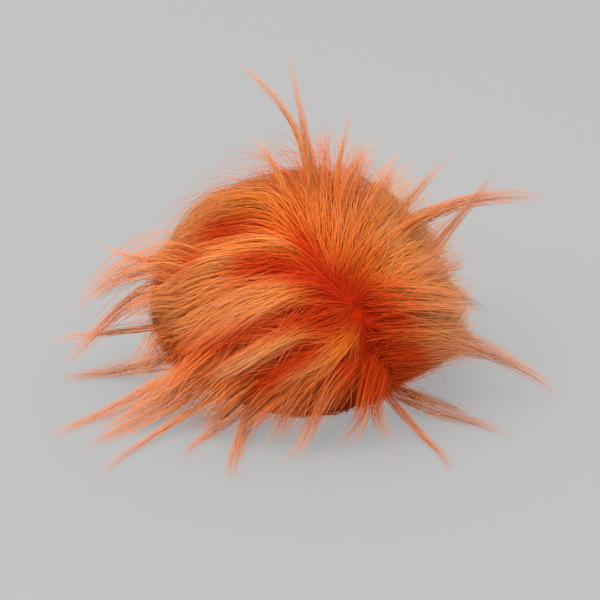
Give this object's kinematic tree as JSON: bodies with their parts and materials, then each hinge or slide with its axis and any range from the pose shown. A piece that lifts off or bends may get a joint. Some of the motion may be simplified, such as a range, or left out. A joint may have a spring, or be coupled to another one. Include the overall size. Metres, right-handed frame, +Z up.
{
  "type": "pom pom",
  "caption": "Round long-pile fur pom pom with a parted, shaggy coat and loose wisps, lying on a small flat spot.",
  "frame": {"origin": "middle of the flat spot on which the ball lies", "axes": "+Z up from the flat spot, -Y the side with the parting in the pile, +X to the right seen from that side"},
  "size_m": [0.2222, 0.1682, 0.1382],
  "materials": {
    "fur": "long soft pile"
  },
  "bodies": {
    "root": {"fur_pompom": "fur"}
  },
  "joints": []
}
